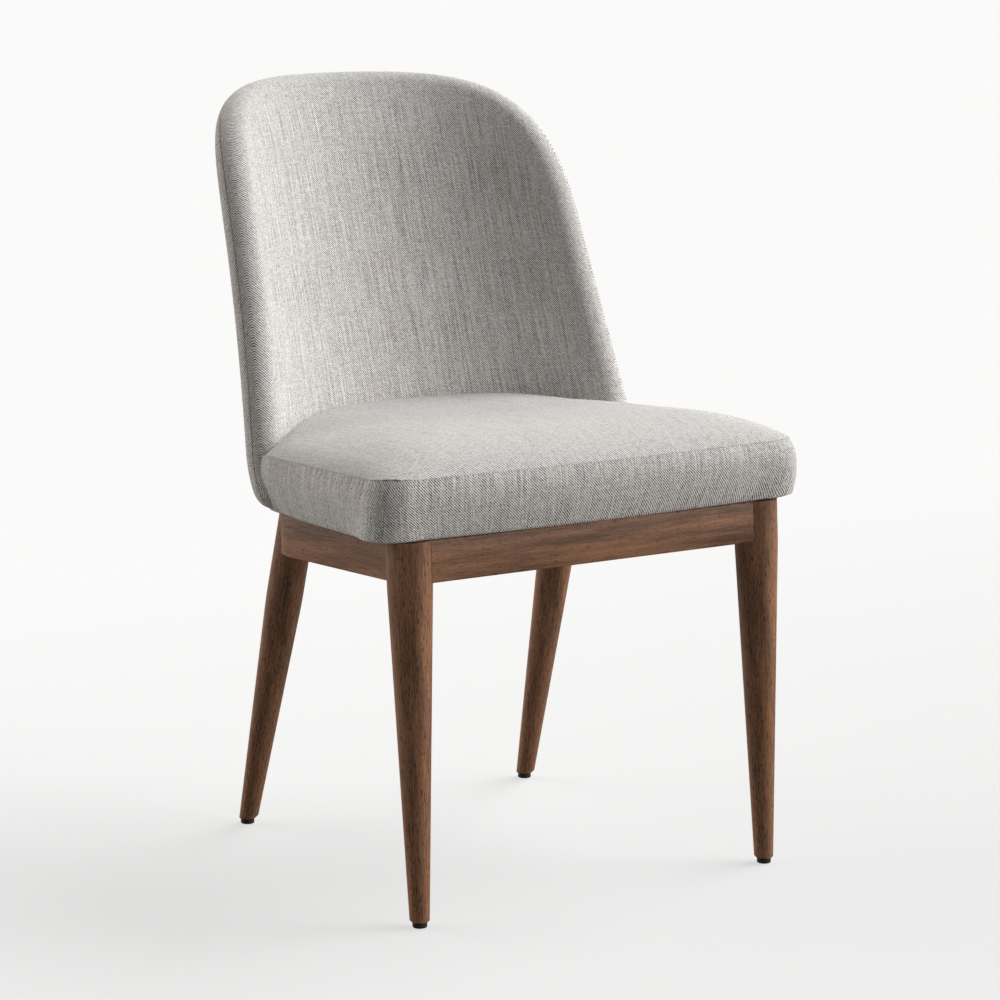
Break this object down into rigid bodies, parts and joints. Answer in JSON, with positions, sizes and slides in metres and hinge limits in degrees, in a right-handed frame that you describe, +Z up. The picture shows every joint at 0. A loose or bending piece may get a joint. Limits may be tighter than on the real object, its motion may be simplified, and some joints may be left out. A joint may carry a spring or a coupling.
{
  "type": "dining chair",
  "caption": "Upholstered dining chair with a curved wraparound back and a crowned boxed seat on a stained wooden rail frame, upright front legs and raked rear legs",
  "frame": {"origin": "on the floor, at the middle of the chair's outer box", "axes": "+Z up, +X to the viewer's right when facing the chair's front, +Y from the front towards the rear"},
  "size_m": [0.5228, 0.5894, 0.8296],
  "materials": {
    "stained_wood": "satin",
    "bare_wood": "matte",
    "cover_fabric": "matte",
    "foam": "matte",
    "dust_cloth": "matte",
    "glide_plastic": "satin",
    "steel": "satin",
    "brass": "satin"
  },
  "bodies": {
    "root": {"back_shell": "bare_wood", "back_foam": "foam", "back_wadding": "foam", "inside_back_cover": "cover_fabric", "outside_back_cover": "cover_fabric", "back_cleat": "bare_wood", "back_bolt_1": "steel", "back_bolt_2": "steel", "back_bolt_3": "steel", "back_bolt_4": "steel", "cleat_screw_1": "steel", "cleat_screw_2": "steel", "cleat_screw_3": "steel", "seat_deck": "bare_wood", "seat_foam": "foam", "seat_top_panel": "cover_fabric", "seat_boxing": "cover_fabric", "front_left_leg": "stained_wood", "front_right_leg": "stained_wood", "rear_left_leg": "stained_wood", "rear_right_leg": "stained_wood", "front_rail": "stained_wood", "rear_rail": "stained_wood", "left_side_rail": "stained_wood", "right_side_rail": "stained_wood", "front_left_corner_block": "bare_wood", "front_left_leg_bolt": "steel", "front_left_washer": "steel", "front_left_nut": "steel", "front_right_corner_block": "bare_wood", "front_right_leg_bolt": "steel", "front_right_washer": "steel", "front_right_nut": "steel", "rear_left_corner_block": "bare_wood", "rear_left_lower_insert": "brass", "rear_left_lower_leg_bolt": "steel", "rear_left_upper_insert": "brass", "rear_left_upper_leg_bolt": "steel", "rear_right_corner_block": "bare_wood", "rear_right_lower_insert": "brass", "rear_right_lower_leg_bolt": "steel", "rear_right_upper_insert": "brass", "rear_right_upper_leg_bolt": "steel", "front_left_deck_screw": "steel", "front_right_deck_screw": "steel", "rear_left_deck_screw": "steel", "rear_right_deck_screw": "steel", "dust_cloth": "dust_cloth", "front_left_glide": "glide_plastic", "front_left_glide_nail": "steel", "front_right_glide": "glide_plastic", "front_right_glide_nail": "steel", "rear_left_glide": "glide_plastic", "rear_left_glide_nail": "steel", "rear_right_glide": "glide_plastic", "rear_right_glide_nail": "steel"}
  },
  "joints": []
}
